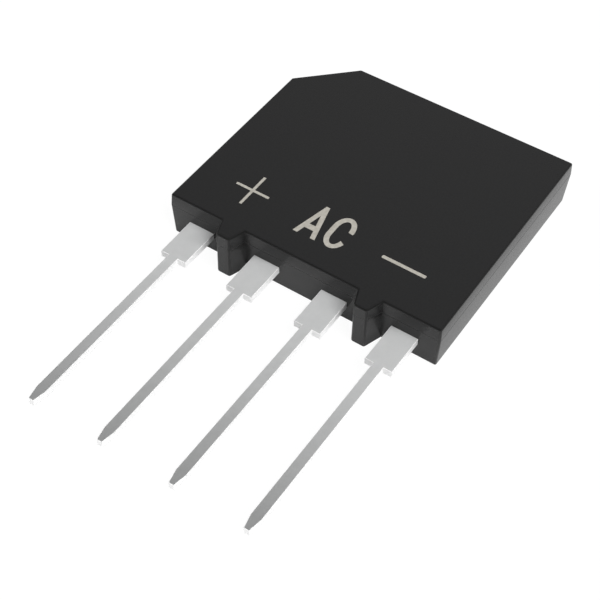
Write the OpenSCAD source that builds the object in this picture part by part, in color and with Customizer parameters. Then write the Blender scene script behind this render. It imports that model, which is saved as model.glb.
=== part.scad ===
// In-line bridge rectifier: four flat stamped leads moulded into a thin epoxy body,
// with the four diode chips, their clips and their solder inside.
//
// X runs across the leads, from the positive lead to the negative one.
// Y runs along the leads, away from their tips. Z is up.
// The back face lies on z = 0, the marked face is on top, and the origin is the middle
// of the back face. All sizes are in millimetres.

/* [Epoxy body] */
// Width of the marked face, across the leads
body_w = 20; // [19:0.1:24]
// Height of the marked face, from the lead side to the far side
body_h = 17.4; // [16.4:0.1:20]
// Thickness of the body
body_t = 3.5; // [3.2:0.05:4.5]
// Leg of the corner cut beside the positive lead
corner_cut = 3.5; // [2:0.1:4.5]
// Height of the mould's parting line above the back face
parting_z = 2.55; // [2:0.05:2.9]
// Draft of the walls above the parting line, in degrees
front_draft = 3; // [1:0.5:8]
// Draft of the walls below the parting line, in degrees
back_draft = 3; // [1:0.5:6]
// Diameter of the two ejector marks in the back face
ejector_d = 1.6; // [1:0.1:2.4]
// Depth of the ejector marks
ejector_depth = 0.06; // [0.03:0.01:0.15]
// Distance between the middles of the ejector marks
ejector_spacing = 11; // [8:0.5:13]

/* [Standoffs] */
// Distance from the marked face's lead side to the seating faces
standoff_reach = 1.2; // [0.8:0.05:2]
// Width of a seating face
standoff_tip_w = 0.95; // [0.7:0.05:1.4]
// Sideways flare of each flank, from the seating face to the marked face's lead side
standoff_flare = 0.43; // [0.2:0.01:0.6]

/* [Leads] */
// Distance between neighbouring leads
lead_pitch = 5.08; // [5:0.01:5.2]
// Thickness of the lead metal
lead_t = 0.5; // [0.4:0.01:0.55]
// Height of the leads' underside above the back face
lead_z = 1.25; // [1:0.05:1.4]
// Length of a lead from the marked face's lead side to its tip
lead_l = 16.6; // [14:0.1:20]
// Width of the shoulder next to the body
shoulder_w = 1.9; // [1.6:0.05:2.1]
// Length of the shoulder from the marked face's lead side
shoulder_l = 3.05; // [2:0.05:4]
// Width of the pin beyond the shoulder
pin_w = 0.72; // [0.6:0.01:1.2]
// Length of the tapered tip
tip_l = 0.92; // [0.5:0.01:1.5]
// Width of the tip's flat end
tip_w = 0.36; // [0.2:0.01:0.5]

/* [Lead frame inside the body] */
// Gap between neighbouring stampings
frame_gap = 1; // [0.7:0.05:1.2]
// Epoxy left between the positive pad and the body's far side and corner cut
edge_cover = 1.4; // [1:0.05:1.8]
// Distance from the marked face's lead side to the pads
anchor_l = 1.9; // [1.6:0.05:2.2]
// Height of the two alternating-current pads
ac_pad_h = 6.8; // [6.5:0.1:7.2]
// Length of the pair of notches that locks each lead in the epoxy
notch_l = 0.7; // [0.4:0.05:1]
// Depth of a notch
notch_depth = 0.25; // [0.15:0.01:0.4]

/* [Diode chips] */
// Side of a chip
chip_w = 2.8; // [2.5:0.05:3.1]
// Thickness of a chip
chip_t = 0.28; // [0.2:0.01:0.35]
// Width of the etched border round a chip's top
mesa_border = 0.22; // [0.1:0.01:0.3]
// Depth of that border
mesa_depth = 0.09; // [0.05:0.01:0.14]
// Distance from the pads' lead-side edge to the lower chips
chip_inset = 0.9; // [0.6:0.05:1.1]
// Thickness of each solder layer
solder_t = 0.05; // [0.03:0.01:0.1]

/* [Clips] */
// Width of a clip
clip_w = 1.8; // [1.4:0.05:1.9]
// Thickness of the clip metal
clip_t = 0.25; // [0.15:0.01:0.3]
// Length of a clip's foot
foot_l = 1.2; // [0.9:0.05:1.4]
// Distance from an alternating-current pad's far edge to the foot on it
foot_inset = 0.4; // [0.2:0.05:0.6]
// Length of the negative stamping beyond the bridge clip's foot
stem_end = 0.5; // [0.3:0.05:0.8]

/* [Hidden] */

epoxy_colour = [0.12, 0.12, 0.12];
tin_colour = [0.74, 0.75, 0.75];
silicon_colour = [0.36, 0.38, 0.42];
copper_colour = [0.78, 0.48, 0.33];
solder_colour = [0.62, 0.63, 0.65];

// How far the walls stand out from the marked face's outline at the parting line and
// at the back face. The second is negative where the back half draws in past it.
parting_out = (body_t - parting_z) * tan(front_draft);
back_out = parting_out - parting_z * tan(back_draft);

// Edges of the body on the marked face
lead_side_y = -body_h / 2;
far_side_y = body_h / 2;
// Distance of the corner cut from the origin, square to the cut
cut_reach = (body_w / 2 + body_h / 2 - corner_cut) / sqrt(2);
// Length that reaches past the body in every direction
past_body = body_w + body_h;
// How far a standoff runs on inside the body, and a cutter outside it
run_on = 1;

// Leads and stampings, numbered 0 to 3 from the positive lead
POSITIVE = 0;
AC_1 = 1;
AC_2 = 2;
NEGATIVE = 3;
function lead_x(i) = (i - 1.5) * lead_pitch;
stem_outer_x = lead_x(NEGATIVE) + shoulder_w / 2;
stem_inner_x = lead_x(NEGATIVE) - shoulder_w / 2;
pad_near_y = lead_side_y + anchor_l;
ac_pad_far_y = pad_near_y + ac_pad_h;
ac_pad_in_x = frame_gap / 2;
ac_pad_out_x = stem_inner_x - frame_gap;
positive_pad_y = ac_pad_far_y + frame_gap;
positive_pad_far_y = far_side_y - edge_cover;

// Heights of the stack on the pads
pad_top_z = lead_z + lead_t;
chip_z = pad_top_z + solder_t;
chip_top_z = chip_z + chip_t;
clip_z = chip_top_z + solder_t;
foot_z = pad_top_z + solder_t;

// Middles of the chips: 1 and 2 on the positive pad, 3 and 4 on the lead pads
chip_x = (ac_pad_in_x + ac_pad_out_x) / 2;
upper_chip_y = (positive_pad_y + positive_pad_far_y) / 2;
lower_chip_y = pad_near_y + chip_inset + chip_w / 2;
CHIPS = [
  [-chip_x, upper_chip_y],
  [chip_x, upper_chip_y],
  [-chip_x, lower_chip_y],
  [chip_x, lower_chip_y]
];
jumper_foot_y = ac_pad_far_y - foot_inset - foot_l / 2;
negative_stem_y = lower_chip_y + clip_w / 2 + stem_end;

// Section of the body's drafted walls: a on the left and b on the right of the middle,
// both measured on the marked face
module wall_section(a, b) {
  polygon([
    [-a - back_out, 0],
    [-a - parting_out, parting_z],
    [-a, body_t],
    [b, body_t],
    [b + parting_out, parting_z],
    [b + back_out, 0]
  ]);
}

// A long bar with that section, lying along Y and turned about Z
module drafted_bar(a, b, turn) {
  rotate([0, 0, turn])
    rotate([90, 0, 0])
      linear_extrude(height = 2 * past_body, center = true)
        wall_section(a, b);
}

module drafted_block() {
  intersection() {
    drafted_bar(body_w / 2, body_w / 2, 0);
    drafted_bar(body_h / 2, body_h / 2, 90);
    drafted_bar(cut_reach, past_body, -45);
  }
}

// One standoff on the lead side, with an upright seating face and upright flanks that
// flare into the body
module standoff() {
  tip_x = standoff_tip_w / 2;
  tip_y = lead_side_y - standoff_reach;
  slope = standoff_flare / standoff_reach;
  buried_x = tip_x + standoff_flare + slope * run_on;
  linear_extrude(height = body_t)
    polygon([
      [-tip_x, tip_y],
      [tip_x, tip_y],
      [buried_x, lead_side_y + run_on],
      [-buried_x, lead_side_y + run_on]
    ]);
}

module ejector_mark() {
  translate([0, 0, -run_on])
    cylinder(h = ejector_depth + run_on, d = ejector_d, $fn = 48);
}

module epoxy_body() {
  color(epoxy_colour)
    difference() {
      union() {
        drafted_block();
        for (side = [-1, 1])
          translate([side * lead_pitch, 0, 0]) standoff();
      }
      for (side = [-1, 1])
        translate([side * ejector_spacing / 2, 0, 0]) ejector_mark();
      for (i = [POSITIVE:NEGATIVE]) lead(i);
      for (i = [0:3]) {
        diode_chip(i);
        solder_under_chip(i);
        solder_on_chip(i);
      }
      for (side = [-1, 1]) {
        jumper_clip(side);
        solder_foot_ac(side);
      }
      bridge_clip();
      solder_foot_negative();
    }
}

// Flat outline of a lead outside the body and its stem inside it, up to far_y
module blade_outline(far_y) {
  half_shoulder = shoulder_w / 2;
  shoulder_y = lead_side_y - shoulder_l;
  tip_end_y = lead_side_y - lead_l;
  notch_y = lead_side_y + anchor_l / 2;
  difference() {
    union() {
      translate([-half_shoulder, shoulder_y])
        square([shoulder_w, far_y - shoulder_y]);
      polygon([
        [-tip_w / 2, tip_end_y],
        [tip_w / 2, tip_end_y],
        [pin_w / 2, tip_end_y + tip_l],
        [pin_w / 2, shoulder_y],
        [-pin_w / 2, shoulder_y],
        [-pin_w / 2, tip_end_y + tip_l]
      ]);
    }
    for (side = [-1, 1])
      polygon([
        [side * half_shoulder, notch_y - notch_l / 2],
        [side * (half_shoulder - notch_depth), notch_y],
        [side * half_shoulder, notch_y + notch_l / 2]
      ]);
  }
}

// Pad of a stamping, beyond its stem
module pad_outline(i) {
  if (i == POSITIVE)
    difference() {
      translate([-stem_outer_x, positive_pad_y])
        square([stem_outer_x + ac_pad_out_x, positive_pad_far_y - positive_pad_y]);
      rotate(-45)
        translate([-cut_reach + edge_cover - past_body, -past_body])
          square([past_body, 2 * past_body]);
    }
  if (i == AC_1)
    translate([-ac_pad_out_x, pad_near_y])
      square([ac_pad_out_x - ac_pad_in_x, ac_pad_h]);
  if (i == AC_2)
    translate([ac_pad_in_x, pad_near_y])
      square([ac_pad_out_x - ac_pad_in_x, ac_pad_h]);
}

module lead(i) {
  stem_far_y = [positive_pad_y, pad_near_y, pad_near_y, negative_stem_y][i];
  color(tin_colour)
    translate([0, 0, lead_z])
      linear_extrude(height = lead_t)
        union() {
          translate([lead_x(i), 0]) blade_outline(stem_far_y);
          pad_outline(i);
        }
}

// A glass-passivated chip with an etched border round its top
module diode_chip(i) {
  top_w = chip_w - 2 * mesa_border;
  color(silicon_colour)
    translate([CHIPS[i].x, CHIPS[i].y, chip_z]) {
      translate([-chip_w / 2, -chip_w / 2, 0])
        cube([chip_w, chip_w, chip_t - mesa_depth]);
      translate([-top_w / 2, -top_w / 2, 0])
        cube([top_w, top_w, chip_t]);
    }
}

// A solder layer with its middle at x, y
module solder_layer(x, y, z, size) {
  color(solder_colour)
    translate([x - size.x / 2, y - size.y / 2, z])
      cube([size.x, size.y, solder_t]);
}

module solder_under_chip(i) {
  solder_layer(CHIPS[i].x, CHIPS[i].y, pad_top_z, [chip_w, chip_w]);
}

module solder_on_chip(i) {
  solder_layer(CHIPS[i].x, CHIPS[i].y, chip_top_z, [clip_w, clip_w]);
}

module solder_foot_ac(side) {
  solder_layer(side * chip_x, jumper_foot_y, pad_top_z, [clip_w, foot_l]);
}

module solder_foot_negative() {
  solder_layer(lead_x(NEGATIVE), lower_chip_y, pad_top_z, [foot_l, clip_w]);
}

// A bent strip along X: flat on the chips from start to bend, then down to a foot
module clip_strip(start, bend, foot_start, foot_end) {
  rotate([90, 0, 0])
    linear_extrude(height = clip_w, center = true)
      polygon([
        [start, clip_z],
        [bend, clip_z],
        [foot_start, foot_z],
        [foot_end, foot_z],
        [foot_end, foot_z + clip_t],
        [foot_start, foot_z + clip_t],
        [bend, clip_z + clip_t],
        [start, clip_z + clip_t]
      ]);
}

// Joins an upper chip's anode to an alternating-current pad, side -1 or 1
module jumper_clip(side) {
  color(copper_colour)
    translate([side * chip_x, 0, 0])
      rotate([0, 0, -90])
        clip_strip(
          -upper_chip_y - clip_w / 2,
          -positive_pad_y,
          -jumper_foot_y - foot_l / 2,
          -jumper_foot_y + foot_l / 2
        );
}

// Joins both lower chips' anodes to the negative stamping
module bridge_clip() {
  color(copper_colour)
    translate([0, lower_chip_y, 0])
      clip_strip(
        -chip_x - clip_w / 2,
        ac_pad_out_x,
        lead_x(NEGATIVE) - foot_l / 2,
        lead_x(NEGATIVE) + foot_l / 2
      );
}

epoxy_body();
lead(POSITIVE);  // lead_positive
lead(AC_1);  // lead_ac_1
lead(AC_2);  // lead_ac_2
lead(NEGATIVE);  // lead_negative
diode_chip(0);  // diode_chip_1
diode_chip(1);  // diode_chip_2
diode_chip(2);  // diode_chip_3
diode_chip(3);  // diode_chip_4
jumper_clip(-1);  // jumper_clip_1
jumper_clip(1);  // jumper_clip_2
bridge_clip();
solder_under_chip(0);  // solder_under_chip_1
solder_under_chip(1);  // solder_under_chip_2
solder_under_chip(2);  // solder_under_chip_3
solder_under_chip(3);  // solder_under_chip_4
solder_on_chip(0);  // solder_on_chip_1
solder_on_chip(1);  // solder_on_chip_2
solder_on_chip(2);  // solder_on_chip_3
solder_on_chip(3);  // solder_on_chip_4
solder_foot_ac(-1);  // solder_foot_ac_1
solder_foot_ac(1);  // solder_foot_ac_2
solder_foot_negative();
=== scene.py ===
from math import pi, radians, tan

import bmesh
import bpy
from mathutils import Matrix, Vector


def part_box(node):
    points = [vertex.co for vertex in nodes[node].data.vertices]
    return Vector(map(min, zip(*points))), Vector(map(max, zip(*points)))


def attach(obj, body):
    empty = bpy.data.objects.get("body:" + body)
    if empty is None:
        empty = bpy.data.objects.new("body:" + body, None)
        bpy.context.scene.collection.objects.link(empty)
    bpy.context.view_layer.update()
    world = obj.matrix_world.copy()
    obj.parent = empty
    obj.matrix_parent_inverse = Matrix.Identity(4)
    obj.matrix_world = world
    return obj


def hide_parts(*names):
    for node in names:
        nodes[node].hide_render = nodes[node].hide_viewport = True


# In-line bridge rectifier, lying on its back face. Everything is in metres.
# X runs across the leads, from the positive one to the negative one, Y runs along the
# leads, away from their tips, and Z comes out of the marked face.
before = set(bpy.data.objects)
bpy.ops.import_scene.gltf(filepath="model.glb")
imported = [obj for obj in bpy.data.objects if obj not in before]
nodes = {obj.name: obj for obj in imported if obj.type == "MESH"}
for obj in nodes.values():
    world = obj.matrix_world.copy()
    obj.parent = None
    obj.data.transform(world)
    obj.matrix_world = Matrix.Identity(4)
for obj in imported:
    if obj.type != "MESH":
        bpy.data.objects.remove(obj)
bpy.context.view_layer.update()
MM = 0.001

# ---------------------------------------------------------------------------
# Epoxy body: one transfer moulding of black, silica-filled epoxy round the lead
# frame. The mould opens at a parting line, so the walls are drafted both ways
# from it, and the two standoffs on the lead side flare into the body.
# ---------------------------------------------------------------------------
body_low, body_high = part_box("epoxy_body")
body_top = body_high.z
wall_draft = tan(radians(3))
parting_z = 2.55 * MM
parting_out = (body_top - parting_z) * wall_draft
back_in = parting_z * wall_draft - parting_out
face_x = body_high.x - parting_out
face_y = body_high.y - parting_out
corner_cut = 3.5 * MM
standoff_x = 5.08 * MM
standoff_tip_y = body_low.y
standoff_tip_half = 0.475 * MM
standoff_flare = 0.43 * MM
root_depth = 1 * MM
edge_radius = 0.12 * MM
edge_steps = 3
parting_line_half = 0.04 * MM
parting_line_rougher = 0.22
ejector_radius = 0.8 * MM
ejector_depth = 0.06 * MM
ejector_x = 5.5 * MM
hair = 0.001 * MM
sharp = radians(35)


def select_only(*pieces):
    """In object mode, leaves just these pieces selected, the first one active."""
    bpy.ops.object.select_all(action="DESELECT")
    for piece in pieces:
        piece.select_set(True)
    bpy.context.view_layer.objects.active = pieces[0]


def add_block(name, low, high):
    """A cube primitive between two corners, with its place in its mesh."""
    size = Vector(high) - Vector(low)
    middle = (Vector(high) + Vector(low)) / 2
    bpy.ops.mesh.primitive_cube_add(size=1, location=middle, scale=size)
    block = bpy.context.active_object
    block.name = name
    select_only(block)
    bpy.ops.object.transform_apply(location=True, rotation=True, scale=True)
    return block


def start_shaping(piece):
    """Opens a piece in edit mode with nothing selected."""
    select_only(piece)
    bpy.ops.object.mode_set(mode="EDIT")
    bpy.ops.mesh.select_all(action="DESELECT")


def pick_corners(piece, wanted):
    """In edit mode, selects just the corners whose place is wanted."""
    bpy.ops.mesh.select_mode(type="VERT")
    bpy.ops.mesh.select_all(action="DESELECT")
    mesh = bmesh.from_edit_mesh(piece.data)
    for corner in mesh.verts:
        corner.select_set(bool(wanted(corner.co)))
    mesh.select_flush_mode()
    bmesh.update_edit_mesh(piece.data)


def pick_faces(piece, wanted):
    """In edit mode, selects just the faces whose middle and normal are wanted."""
    bpy.ops.mesh.select_mode(type="FACE")
    bpy.ops.mesh.select_all(action="DESELECT")
    mesh = bmesh.from_edit_mesh(piece.data)
    for face in mesh.faces:
        face.select_set(bool(wanted(face.calc_center_median(), face.normal)))
    mesh.select_flush_mode()
    bmesh.update_edit_mesh(piece.data)


def pick_edges(piece, wanted):
    """In edit mode, selects just the wanted edges."""
    bpy.ops.mesh.select_mode(type="EDGE")
    bpy.ops.mesh.select_all(action="DESELECT")
    mesh = bmesh.from_edit_mesh(piece.data)
    for edge in mesh.edges:
        edge.select_set(bool(wanted(edge)))
    mesh.select_flush_mode()
    bmesh.update_edit_mesh(piece.data)


def finish_shaping():
    bpy.ops.object.mode_set(mode="OBJECT")


def combine(piece, other, operation):
    """Unites a piece with another one, or cuts the other out of it, and removes the other."""
    select_only(piece)
    bpy.ops.object.modifier_add(type="BOOLEAN")
    cut = piece.modifiers[-1]
    cut.object = other
    cut.operation = operation
    cut.solver = "EXACT"
    bpy.ops.object.modifier_apply(modifier=cut.name)
    bpy.data.objects.remove(other)


def round_edges(piece, radius, segments, lowest):
    """Rounds the sharp outer edges that lie no lower than lowest. The rounding takes the
    second material."""
    start_shaping(piece)
    pick_edges(
        piece,
        lambda edge: edge.is_convex
        and edge.calc_face_angle(0) > sharp
        and min(end.co.z for end in edge.verts) > lowest - hair,
    )
    bpy.ops.mesh.bevel(offset=radius, segments=segments, affect="EDGES", material=1)
    finish_shaping()


def settle_shading(piece):
    """Keeps flat faces flat and lets the rounded edges run smoothly into them."""
    select_only(piece)
    bpy.ops.object.shade_smooth_by_angle(angle=sharp)
    bpy.ops.object.modifier_add(type="WEIGHTED_NORMAL")
    weighting = piece.modifiers[-1]
    weighting.keep_sharp = True
    bpy.ops.object.modifier_apply(modifier=weighting.name)


# The block: the corner beside the positive lead comes off, then a ring at the parting
# line is pushed out and the back face is drawn in.
body = add_block("moulded_body", (-face_x, -face_y, 0), (face_x, face_y, body_top))
start_shaping(body)
bpy.ops.mesh.select_all(action="SELECT")
bpy.ops.mesh.bisect(
    plane_co=(-face_x + corner_cut, face_y, 0),
    plane_no=(-1, 1, 0),
    use_fill=True,
    clear_outer=True,
)
bpy.ops.mesh.select_all(action="SELECT")
bpy.ops.mesh.bisect(plane_co=(0, 0, parting_z), plane_no=(0, 0, 1))
pick_corners(body, lambda place: abs(place.z - parting_z) < hair)
bpy.ops.transform.resize(
    value=(1 + parting_out / face_x, 1 + parting_out / face_y, 1),
    center_override=(0, 0, parting_z),
)
pick_corners(body, lambda place: place.z < hair)
bpy.ops.transform.resize(
    value=(1 - back_in / face_x, 1 - back_in / face_y, 1),
    center_override=(0, 0, 0),
)
finish_shaping()

# The standoffs: each reaches some way into the body, and its root is spread so that
# the flanks flare evenly all the way from the seating face.
standoffs = add_block(
    "standoffs",
    (-standoff_tip_half, standoff_tip_y, 0),
    (standoff_tip_half, -face_y + root_depth, body_top),
)
start_shaping(standoffs)
reach = -face_y - standoff_tip_y
root_spread = standoff_flare * (reach + root_depth) / reach
pick_corners(standoffs, lambda place: place.y > -face_y)
bpy.ops.transform.resize(
    value=(1 + root_spread / standoff_tip_half, 1, 1),
    center_override=(0, 0, 0),
)
bpy.ops.mesh.select_all(action="SELECT")
bpy.ops.transform.translate(value=(-standoff_x, 0, 0))
bpy.ops.mesh.duplicate_move(TRANSFORM_OT_translate={"value": (2 * standoff_x, 0, 0)})
finish_shaping()
combine(body, standoffs, "UNION")

# The mould's corners leave small radii, which take a darker copy of the epoxy: painted shade for
# the thin dark line along the edges.
# The standoffs meet the wall in a plain corner.
body.data.materials.clear()
body.data.materials.append(None)
body.data.materials.append(None)
round_edges(body, edge_radius, edge_steps, lowest=0)

# Two shallow round marks are left in the back face by the ejector pins.
bpy.ops.mesh.primitive_cylinder_add(
    vertices=48, radius=ejector_radius, depth=2 * ejector_depth, location=(-ejector_x, 0, 0)
)
ejector_marks = bpy.context.active_object
select_only(ejector_marks)
bpy.ops.object.transform_apply(location=True, rotation=True, scale=True)
start_shaping(ejector_marks)
bpy.ops.mesh.select_all(action="SELECT")
bpy.ops.mesh.duplicate_move(TRANSFORM_OT_translate={"value": (2 * ejector_x, 0, 0)})
finish_shaping()
combine(body, ejector_marks, "DIFFERENCE")


def new_finish(name):
    """A material with its principled shader and its tree."""
    finish = bpy.data.materials.new(name)
    finish.use_nodes = True
    return finish, finish.node_tree, finish.node_tree.nodes["Principled BSDF"]


def speckle(tree, grain, detail=2.0, stretch=(1, 1, 1)):
    """Noise whose grains measure about the given size, longer where stretch is over 1."""
    place = tree.nodes.new("ShaderNodeTexCoord")
    scaled = tree.nodes.new("ShaderNodeMapping")
    scaled.inputs["Scale"].default_value = [1 / (grain * way) for way in stretch]
    noise = tree.nodes.new("ShaderNodeTexNoise")
    noise.inputs["Scale"].default_value = 1
    noise.inputs["Detail"].default_value = detail
    tree.links.new(place.outputs["Object"], scaled.inputs["Vector"])
    tree.links.new(scaled.outputs["Vector"], noise.inputs["Vector"])
    return noise.outputs["Fac"]


def between(tree, factor, low, high):
    """Turns a factor from 0 to 1 into a number from low to high."""
    span = tree.nodes.new("ShaderNodeMapRange")
    span.inputs["To Min"].default_value = low
    span.inputs["To Max"].default_value = high
    tree.links.new(factor, span.inputs["Value"])
    return span.outputs["Result"]


def tint(tree, factor, dark, light):
    """Turns a factor into a colour between two."""
    ramp = tree.nodes.new("ShaderNodeValToRGB")
    ramp.color_ramp.elements[0].position = 0.3
    ramp.color_ramp.elements[0].color = (*dark, 1)
    ramp.color_ramp.elements[1].position = 0.7
    ramp.color_ramp.elements[1].color = (*light, 1)
    tree.links.new(factor, ramp.inputs["Fac"])
    return ramp.outputs["Color"]


def relief(tree, surface, height, depth, strength):
    """Gives a surface small bumps of the given depth."""
    bump = tree.nodes.new("ShaderNodeBump")
    bump.inputs["Distance"].default_value = depth
    bump.inputs["Strength"].default_value = strength
    tree.links.new(height, bump.inputs["Height"])
    tree.links.new(bump.outputs["Normal"], surface.inputs["Normal"])


def epoxy_finish(name, dark, light, smooth, rough, sheen_level):
    """Eroded mould steel prints a fine grain on the epoxy, its filler shows as faint specks,
    and a thin rough line runs round the walls where the halves of the mould met."""
    finish, tree, surface = new_finish(name)
    surface.inputs["IOR"].default_value = 1.5
    surface.inputs["Specular IOR Level"].default_value = sheen_level
    filler = speckle(tree, 0.12 * MM, detail=3)
    tree.links.new(tint(tree, filler, dark, light), surface.inputs["Base Color"])
    flow = speckle(tree, 2.5 * MM, detail=2, stretch=(1, 2, 1))
    place = tree.nodes.new("ShaderNodeTexCoord")
    split = tree.nodes.new("ShaderNodeSeparateXYZ")
    at_line = tree.nodes.new("ShaderNodeMath")
    at_line.operation = "COMPARE"
    at_line.inputs[1].default_value = parting_z
    at_line.inputs[2].default_value = parting_line_half
    rougher = tree.nodes.new("ShaderNodeMath")
    rougher.operation = "MULTIPLY_ADD"
    rougher.inputs[1].default_value = parting_line_rougher
    tree.links.new(place.outputs["Object"], split.inputs["Vector"])
    tree.links.new(split.outputs["Z"], at_line.inputs[0])
    tree.links.new(at_line.outputs["Value"], rougher.inputs[0])
    tree.links.new(between(tree, flow, smooth, rough), rougher.inputs[2])
    tree.links.new(rougher.outputs["Value"], surface.inputs["Roughness"])
    relief(tree, surface, speckle(tree, 0.16 * MM, detail=3), 0.003 * MM, 0.2)
    return finish


epoxy = epoxy_finish(
    "black_epoxy", (0.013, 0.013, 0.0132), (0.0155, 0.0155, 0.0157), 0.2, 0.26, 0.33
)
# Painted shade: the rounded edges get a darker, slightly rougher copy of the epoxy.
shaded_edge_epoxy = epoxy_finish(
    "shaded_edge_epoxy", (0.01, 0.01, 0.01), (0.012, 0.012, 0.012), 0.26, 0.32, 0.35
)
body.data.materials[0] = epoxy
body.data.materials[1] = shaded_edge_epoxy
nodes["epoxy_body"].data.materials.clear()
nodes["epoxy_body"].data.materials.append(epoxy)
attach(body, "root")
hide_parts("epoxy_body")

# ---------------------------------------------------------------------------
# Marks on the marked face: plus, minus and AC name the leads below them. They are
# a thin pale print that fills shallow recesses in the epoxy.
# ---------------------------------------------------------------------------
print_depth = 0.02 * MM
print_sink = 0.003 * MM
print_y = -5.46 * MM
plus_x = -5.87 * MM
plus_across = 2.52 * MM
plus_along = 2.82 * MM
plus_stroke = 0.2 * MM
minus_x = 5.54 * MM
minus_y = -5.57 * MM
minus_across = 3.14 * MM
minus_stroke = 0.25 * MM
minus_corner = 0.3 * minus_stroke
letter_low = -6.87 * MM
letter_high = -3.96 * MM
letter_stroke = 0.36 * MM

print_floor = body_top - print_depth
cutter_top = body_top + print_depth


def print_block(name, x_low, x_high, y_low, y_high):
    """A bar of print, made twice as tall as its recess so that it can cut it first."""
    return add_block(name, (x_low, y_low, print_floor), (x_high, y_high, cutter_top))


def lay_print(piece):
    """Cuts the recess for a mark in the body, and sinks the mark's top a hair below the face."""
    cutter = piece.copy()
    cutter.data = piece.data.copy()
    bpy.context.scene.collection.objects.link(cutter)
    combine(body, cutter, "DIFFERENCE")
    start_shaping(piece)
    pick_corners(piece, lambda place: place.z > body_top)
    bpy.ops.transform.translate(value=(0, 0, body_top - print_sink - cutter_top))
    finish_shaping()
    piece.data.materials.clear()
    piece.data.materials.append(pale_print)
    settle_shading(piece)
    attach(piece, "root")


pale_print, tree, surface = new_finish("pale_print")
surface.inputs["Specular IOR Level"].default_value = 0.3
film = speckle(tree, 0.25 * MM, detail=3)
tree.links.new(
    tint(tree, film, (0.355, 0.338, 0.298), (0.45, 0.43, 0.385)), surface.inputs["Base Color"]
)
tree.links.new(between(tree, film, 0.55, 0.75), surface.inputs["Roughness"])
relief(tree, surface, speckle(tree, 0.08 * MM), 0.003 * MM, 0.5)

# Plus: the crossing is a small block, and its four sides are pulled out into arms.
half = plus_stroke / 2
mark_plus = print_block("mark_plus", plus_x - half, plus_x + half, print_y - half, print_y + half)
start_shaping(mark_plus)
for axis, reach in ((0, plus_across / 2 - half), (1, plus_along / 2 - half)):
    for side in (-1, 1):
        way = [0, 0, 0]
        way[axis] = side * reach
        pick_faces(
            mark_plus,
            lambda middle, normal: side * normal[axis] > 0.9
            and abs(middle.x - plus_x) < plus_stroke
            and abs(middle.y - print_y) < plus_stroke,
        )
        bpy.ops.mesh.extrude_region_move(TRANSFORM_OT_translate={"value": way})
finish_shaping()
lay_print(mark_plus)

# Minus: one bar, its corners rounded where the print runs out.
mark_minus = print_block(
    "mark_minus",
    minus_x - minus_across / 2,
    minus_x + minus_across / 2,
    minus_y - minus_stroke / 2,
    minus_y + minus_stroke / 2,
)
start_shaping(mark_minus)
pick_edges(mark_minus, lambda edge: abs(edge.verts[0].co.z - edge.verts[1].co.z) > print_depth)
bpy.ops.mesh.bevel(offset=minus_corner, segments=3, affect="EDGES")
finish_shaping()
lay_print(mark_minus)

# Letter A: a tapering plate. The space between its legs is cut away below the bar and
# above it, up to a point.
a_middle = -1.02 * MM
foot_half = 0.82 * MM
apex_half = 0.13 * MM
leg_width = 0.95 * letter_stroke
bar_low = -6.25 * MM
bar_high = -5.82 * MM
leg_lean = (foot_half - apex_half) / (letter_high - letter_low)
opening_point = letter_low + (foot_half - leg_width) / leg_lean
opening_low = letter_low - letter_stroke
mark_ac = print_block(
    "mark_ac", a_middle - foot_half, a_middle + foot_half, letter_low, letter_high
)
start_shaping(mark_ac)
pick_corners(mark_ac, lambda place: place.y > letter_high - hair)
bpy.ops.transform.resize(value=(apex_half / foot_half, 1, 1), center_override=(a_middle, 0, 0))
finish_shaping()
for y_low, y_high in ((opening_low, bar_low), (bar_high, opening_point)):
    half_low = (opening_point - y_low) * leg_lean
    half_high = (opening_point - y_high) * leg_lean
    opening = add_block(
        "opening",
        (a_middle - half_low, y_low, print_floor - print_depth),
        (a_middle + half_low, y_high, cutter_top + print_depth),
    )
    start_shaping(opening)
    pick_corners(opening, lambda place: place.y > y_high - hair)
    bpy.ops.transform.resize(value=(half_high / half_low, 1, 1), center_override=(a_middle, 0, 0))
    bpy.ops.mesh.select_all(action="SELECT")
    bpy.ops.mesh.remove_doubles(threshold=hair)
    finish_shaping()
    combine(mark_ac, opening, "DIFFERENCE")

# Letter C: an oval plate with a smaller oval cut from its middle. The gap between its ends
# opens and drops to the right, so that it cuts them nearly square to the stroke.
c_middle = 0.8 * MM
c_half = 0.755 * MM
c_straight = 0.35 * MM
c_right = c_middle + c_half
letter_middle = (letter_high + letter_low) / 2
letter_half = (letter_high - letter_low) / 2
gap_high = -5.035 * MM
gap_low = -5.775 * MM
gap_drop_high = 0.158 * MM
gap_drop_low = 0.589 * MM


def print_oval(name, half_across, half_along, low, high):
    """An oval plate of print round the middle of the letter C, its sides a little straight."""
    bpy.ops.mesh.primitive_cylinder_add(
        vertices=64,
        radius=half_across,
        depth=high - low,
        location=(c_middle, letter_middle, (low + high) / 2),
        scale=(1, (half_along - c_straight) / half_across, 1),
    )
    oval = bpy.context.active_object
    oval.name = name
    select_only(oval)
    bpy.ops.object.transform_apply(location=True, rotation=True, scale=True)
    start_shaping(oval)
    for side in (-1, 1):
        pick_corners(oval, lambda place: side * (place.y - letter_middle) > hair)
        bpy.ops.transform.translate(value=(0, side * c_straight, 0))
    finish_shaping()
    return oval


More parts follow.
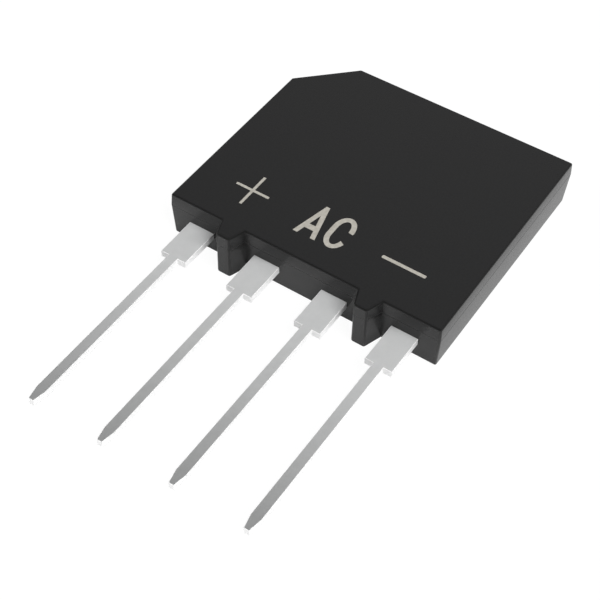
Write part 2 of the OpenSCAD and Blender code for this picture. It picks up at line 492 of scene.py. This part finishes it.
letter_c = print_oval("letter_c", c_half, letter_half, print_floor, cutter_top)
hollow = print_oval(
    "hollow",
    c_half - letter_stroke,
    letter_half - letter_stroke,
    print_floor - print_depth,
    cutter_top + print_depth,
)
combine(letter_c, hollow, "DIFFERENCE")
gap = add_block(
    "gap",
    (c_middle, gap_low, print_floor - print_depth),
    (c_right + letter_stroke, gap_high, cutter_top + print_depth),
)
start_shaping(gap)
pick_corners(gap, lambda place: place.x > c_right and place.y > gap_high - hair)
bpy.ops.transform.translate(value=(0, -gap_drop_high, 0))
pick_corners(gap, lambda place: place.x > c_right and place.y < gap_low + hair)
bpy.ops.transform.translate(value=(0, -gap_drop_low, 0))
finish_shaping()
combine(letter_c, gap, "DIFFERENCE")
combine(mark_ac, letter_c, "UNION")
lay_print(mark_ac)
settle_shading(body)

# ---------------------------------------------------------------------------
# Leads: each is stamped from half-millimetre copper strip and plated with matte tin.
# The epoxy grips its notched stem, the shoulder stops it in the board, and the pin
# ends in a tapered tip. The punch rounds the upper edges a little.
# ---------------------------------------------------------------------------
lead_edge = 0.03 * MM
lead_edge_steps = 2
tip_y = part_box("lead_positive")[0].y
shoulder_y = -9.9 * MM


def tin_finish(name, metal, dark, light, smooth, rough, tip_shade_level):
    """Tin plating: soft grains in its tone, darkened towards the tip as painted shade, and the
    strip's rolling marks along the lead."""
    finish, tree, surface = new_finish(name)
    surface.inputs["Metallic"].default_value = metal
    grains = speckle(tree, 0.6 * MM, detail=4)
    place = tree.nodes.new("ShaderNodeTexCoord")
    split = tree.nodes.new("ShaderNodeSeparateXYZ")
    # Painted shade: the colour is multiplied down from the shoulder to the tip.
    painted_tip_shade = tree.nodes.new("ShaderNodeMapRange")
    painted_tip_shade.inputs["From Min"].default_value = tip_y
    painted_tip_shade.inputs["From Max"].default_value = shoulder_y
    painted_tip_shade.inputs["To Min"].default_value = tip_shade_level
    tone_mix = tree.nodes.new("ShaderNodeMix")
    tone_mix.data_type = "RGBA"
    tone_mix.blend_type = "MULTIPLY"
    tone_mix.inputs["Factor"].default_value = 1
    tree.links.new(place.outputs["Object"], split.inputs["Vector"])
    tree.links.new(split.outputs["Y"], painted_tip_shade.inputs["Value"])
    tree.links.new(tint(tree, grains, dark, light), tone_mix.inputs["A"])
    tree.links.new(painted_tip_shade.outputs["Result"], tone_mix.inputs["B"])
    tree.links.new(tone_mix.outputs["Result"], surface.inputs["Base Color"])
    rolled = speckle(tree, 0.06 * MM, detail=3, stretch=(1, 30, 1))
    tree.links.new(between(tree, rolled, smooth, rough), surface.inputs["Roughness"])
    relief(tree, surface, rolled, 0.002 * MM, 0.35)
    return finish


# The matte tin darkens to half its tone at the tip, a painted shade.
tin = tin_finish(
    "matte_tin", 0.15, (0.555, 0.56, 0.56), (0.585, 0.59, 0.59), 0.42, 0.52, 0.5
)
# A near-white copy of the tin for the sides and the rounded upper edges. The sheared faces are
# smoother than the plating, and their near-white colour is a painted highlight.
highlit_side_tin = tin_finish(
    "highlit_side_tin", 0.2, (0.96, 0.96, 0.96), (0.99, 0.99, 0.99), 0.3, 0.4, 0.97
)

for name in ("lead_positive", "lead_ac_1", "lead_ac_2", "lead_negative"):
    nodes[name].data.materials.clear()
    nodes[name].data.materials.append(tin)
    lead = nodes[name].copy()
    lead.data = nodes[name].data.copy()
    lead.name = name.replace("lead", "stamped_lead")
    for key in list(lead.keys()):
        del lead[key]
    bpy.context.scene.collection.objects.link(lead)
    start_shaping(lead)
    bpy.ops.mesh.select_all(action="SELECT")
    bpy.ops.mesh.remove_doubles(threshold=hair)
    bpy.ops.mesh.dissolve_limited(angle_limit=radians(1))
    finish_shaping()
    # The sides and, through the rounding, the upper edges take the near-white tin, a painted
    # highlight.
    lead.data.materials.append(highlit_side_tin)
    start_shaping(lead)
    pick_faces(lead, lambda middle, normal: abs(normal.z) < 0.5)
    lead.active_material_index = 1
    bpy.ops.object.material_slot_assign()
    finish_shaping()
    round_edges(lead, lead_edge, lead_edge_steps, lowest=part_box(name)[1].z)
    settle_shading(lead)
    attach(lead, "root")
    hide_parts(name)

# ---------------------------------------------------------------------------
# Diode chips: squares of silicon with a dark passivating glass in the etched border.
# They lie between the stampings and the clips, sealed in the epoxy.
# ---------------------------------------------------------------------------
silicon, tree, surface = new_finish("passivated_silicon")
surface.inputs["Metallic"].default_value = 0.6
glaze = speckle(tree, 0.4 * MM, detail=3)
tree.links.new(
    tint(tree, glaze, (0.09, 0.1, 0.13), (0.17, 0.18, 0.2)), surface.inputs["Base Color"]
)
tree.links.new(between(tree, glaze, 0.15, 0.35), surface.inputs["Roughness"])
relief(tree, surface, speckle(tree, 0.05 * MM), 0.001 * MM, 0.3)
for number in range(1, 5):
    chip = nodes[f"diode_chip_{number}"]
    chip.data.materials.clear()
    chip.data.materials.append(silicon)

# ---------------------------------------------------------------------------
# Clips: bent strips of bare rolled copper, from the tops of the chips down to the
# stampings. The rolling marks run along each strip.
# ---------------------------------------------------------------------------
copper, tree, surface = new_finish("rolled_copper")
surface.inputs["Metallic"].default_value = 1
stain = speckle(tree, 0.9 * MM, detail=4)
tree.links.new(
    tint(tree, stain, (0.62, 0.3, 0.18), (0.78, 0.44, 0.3)), surface.inputs["Base Color"]
)
tree.links.new(between(tree, stain, 0.3, 0.5), surface.inputs["Roughness"])
relief(tree, surface, speckle(tree, 0.05 * MM, stretch=(1, 12, 1)), 0.002 * MM, 0.4)
for name in ("jumper_clip_1", "jumper_clip_2", "bridge_clip"):
    nodes[name].data.materials.clear()
    nodes[name].data.materials.append(copper)

# ---------------------------------------------------------------------------
# Solder: thin reflowed layers under and on each chip and under the clips' feet.
# ---------------------------------------------------------------------------
solder, tree, surface = new_finish("reflowed_solder")
surface.inputs["Metallic"].default_value = 1
tone_mix = speckle(tree, 0.3 * MM, detail=4)
tree.links.new(
    tint(tree, tone_mix, (0.46, 0.47, 0.49), (0.62, 0.63, 0.65)), surface.inputs["Base Color"]
)
tree.links.new(between(tree, tone_mix, 0.35, 0.6), surface.inputs["Roughness"])
relief(tree, surface, tone_mix, 0.004 * MM, 0.4)
for name, node in nodes.items():
    if name.startswith("solder"):
        node.data.materials.clear()
        node.data.materials.append(solder)

# ---------------------------------------------------------------------------
# Stage: a white table under a white sky. It looks white to the camera and in
# reflections, and keeps a part of the object's soft shadow.
# ---------------------------------------------------------------------------
table_reach = 2.0
shadow_seen = 0.07
shadow_mirrored = 0.6

bpy.ops.mesh.primitive_plane_add(size=2 * table_reach, location=(0, 0, -hair))
table = bpy.context.active_object
table.name = "table"
white = bpy.data.materials.new("white_table")
white.use_nodes = True
tree = white.node_tree
tree.nodes.clear()
paper = tree.nodes.new("ShaderNodeBsdfDiffuse")
paper.inputs["Color"].default_value = (0.86, 0.86, 0.86, 1)
glow = tree.nodes.new("ShaderNodeEmission")
glow.inputs["Strength"].default_value = 1.03
seen = tree.nodes.new("ShaderNodeLightPath")
mirrored = tree.nodes.new("ShaderNodeMath")
mirrored.operation = "MULTIPLY"
mirrored.inputs[1].default_value = 1 - shadow_mirrored
share = tree.nodes.new("ShaderNodeMath")
share.operation = "MULTIPLY_ADD"
share.inputs[1].default_value = 1 - shadow_seen
blend = tree.nodes.new("ShaderNodeMixShader")
out = tree.nodes.new("ShaderNodeOutputMaterial")
tree.links.new(seen.outputs["Is Glossy Ray"], mirrored.inputs[0])
tree.links.new(seen.outputs["Is Camera Ray"], share.inputs[0])
tree.links.new(mirrored.outputs["Value"], share.inputs[2])
tree.links.new(share.outputs["Value"], blend.inputs["Fac"])
tree.links.new(paper.outputs["BSDF"], blend.inputs[1])
tree.links.new(glow.outputs["Emission"], blend.inputs[2])
tree.links.new(blend.outputs["Shader"], out.inputs["Surface"])
table.data.materials.append(white)

# The sky is white where it is seen past the table. Where it lights, it is bright behind
# the body's far side and dark on the side of the lead tips.
sky_turns = 0.23
sky_is_full = 0.73
sky_dark = 0.1
sky_bright = 0.44
sky = bpy.data.worlds.new("studio")
bpy.context.scene.world = sky
sky.use_nodes = True
tree = sky.node_tree
tree.nodes.clear()
way = tree.nodes.new("ShaderNodeTexCoord")
split = tree.nodes.new("ShaderNodeSeparateXYZ")
behind = tree.nodes.new("ShaderNodeMapRange")
behind.inputs["From Min"].default_value = sky_turns
behind.inputs["From Max"].default_value = sky_is_full
behind.inputs["To Min"].default_value = sky_dark
behind.inputs["To Max"].default_value = sky_bright
seen = tree.nodes.new("ShaderNodeLightPath")
level = tree.nodes.new("ShaderNodeMix")
level.inputs["B"].default_value = 1
light = tree.nodes.new("ShaderNodeBackground")
light.inputs["Color"].default_value = (1, 1, 1, 1)
out = tree.nodes.new("ShaderNodeOutputWorld")
tree.links.new(way.outputs["Generated"], split.inputs["Vector"])
tree.links.new(split.outputs["Y"], behind.inputs["Value"])
tree.links.new(seen.outputs["Is Camera Ray"], level.inputs["Factor"])
tree.links.new(behind.outputs["Result"], level.inputs["A"])
tree.links.new(level.outputs["Result"], light.inputs["Strength"])
tree.links.new(light.outputs["Background"], out.inputs["Surface"])


def soft_lamp(name, place, size, power):
    """A square studio lamp that looks at the body and isn't seen, not even in the metal."""
    bpy.ops.object.light_add(type="AREA", location=place)
    lamp = bpy.context.active_object
    lamp.name = name
    lamp.data.size = size
    lamp.data.energy = power
    lamp.rotation_euler = (-Vector(place)).to_track_quat("-Z", "Y").to_euler()
    lamp.visible_camera = False
    lamp.visible_glossy = False
    return lamp


soft_lamp("key_lamp", (0.9, -0.22, 1.15), 0.9, 22)
soft_lamp("fill_lamp", (-0.8, -0.6, 0.8), 0.8, 8.2)

# ---------------------------------------------------------------------------
# Camera: above the lead side, to the right of the leads, with a long lens.
# ---------------------------------------------------------------------------
aim = Vector((0.18, -8.92, 0)) * MM
distance = 85.4 * MM
azimuth = radians(32.55)
elevation = radians(49.54)
roll = radians(1.63)
view_angle = radians(25.1)

bpy.ops.object.camera_add()
camera = bpy.context.active_object
camera.name = "camera"
turned = (
    Matrix.Rotation(azimuth, 4, "Z")
    @ Matrix.Rotation(pi / 2 - elevation, 4, "X")
    @ Matrix.Rotation(roll, 4, "Z")
)
back = turned @ Vector((0, 0, 1))
camera.matrix_world = Matrix.Translation(aim + back * distance) @ turned
camera.data.lens_unit = "MILLIMETERS"
camera.data.lens = camera.data.sensor_width / 2 / tan(view_angle / 2)
camera.data.clip_start = 1 * MM
camera.data.clip_end = 10
bpy.context.scene.camera = camera
bpy.context.scene.view_settings.view_transform = "Standard"
